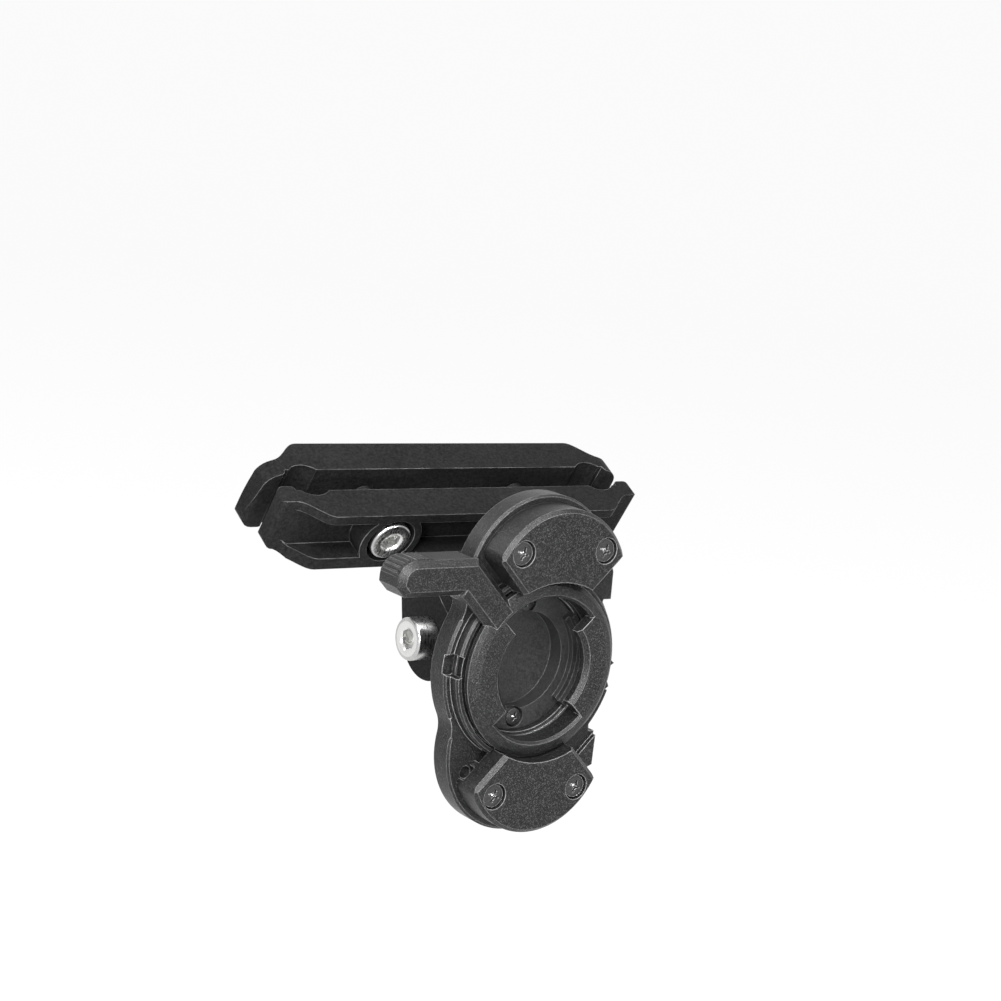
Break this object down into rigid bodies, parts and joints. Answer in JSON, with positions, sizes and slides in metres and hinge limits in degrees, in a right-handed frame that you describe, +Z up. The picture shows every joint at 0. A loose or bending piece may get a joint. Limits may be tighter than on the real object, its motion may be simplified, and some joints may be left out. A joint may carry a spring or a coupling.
{
  "type": "saddle rail light mount",
  "caption": "Light mount that clamps across the rails of a bicycle saddle, with a tilting head whose round socket and lever-turned ring lock a bayonet light.",
  "frame": {"origin": "middle of the round well in the socket cup that takes the light's boss", "axes": "+X along the clamp bars, -Y along the socket's axis the way the light leaves, +Z up with the head upright"},
  "size_m": [0.073, 0.0428, 0.0563],
  "materials": {
    "clamp_bar": "black anodised, satin",
    "head_black": "black anodised over bead blasting, matte",
    "cup_black": "black anodised, matte",
    "bolt_steel": "bright stainless, turned",
    "washer_steel": "plain stainless",
    "screw_black": "black oxide",
    "slide_plastic": "glass-filled nylon"
  },
  "bodies": {
    "clamp": {"front_clamp_bar": "clamp_bar", "clamp_bolt_left": "bolt_steel", "clamp_bolt_right": "bolt_steel", "clamp_washer_left": "washer_steel", "clamp_washer_right": "washer_steel", "pivot_bolt": "bolt_steel", "pivot_nut": "washer_steel", "friction_washer_left": "slide_plastic", "friction_washer_right": "slide_plastic"},
    "rear_clamp": {"rear_clamp_bar": "clamp_bar"},
    "head": {"head_plate": "head_black", "socket_cup": "cup_black", "cup_screw_top": "screw_black", "cup_screw_bottom": "screw_black", "spring_washer": "washer_steel", "bearing_ring": "slide_plastic", "top_cap": "head_black", "bottom_cap": "head_black", "top_screw_left": "screw_black", "top_screw_right": "screw_black", "bottom_screw_left": "screw_black", "bottom_screw_right": "screw_black"},
    "lock": {"lock_ring": "head_black"}
  },
  "joints": [
    {"name": "head_tilt", "type": "hinge", "parent": "clamp", "child": "head", "pos_m": [0, 0.0126, 0.0003], "axis": [1, 0, 0], "range_deg": [-35, 45]},
    {"name": "lock_turn", "type": "hinge", "parent": "head", "child": "lock", "pos_m": [0, -0.0055, 0], "axis": [0, -1, 0], "range_deg": [0, 60]},
    {"name": "clamp_open", "type": "slide", "parent": "clamp", "child": "rear_clamp", "axis": [0, 0.866, 0.5], "range_m": [0, 0.003]}
  ]
}
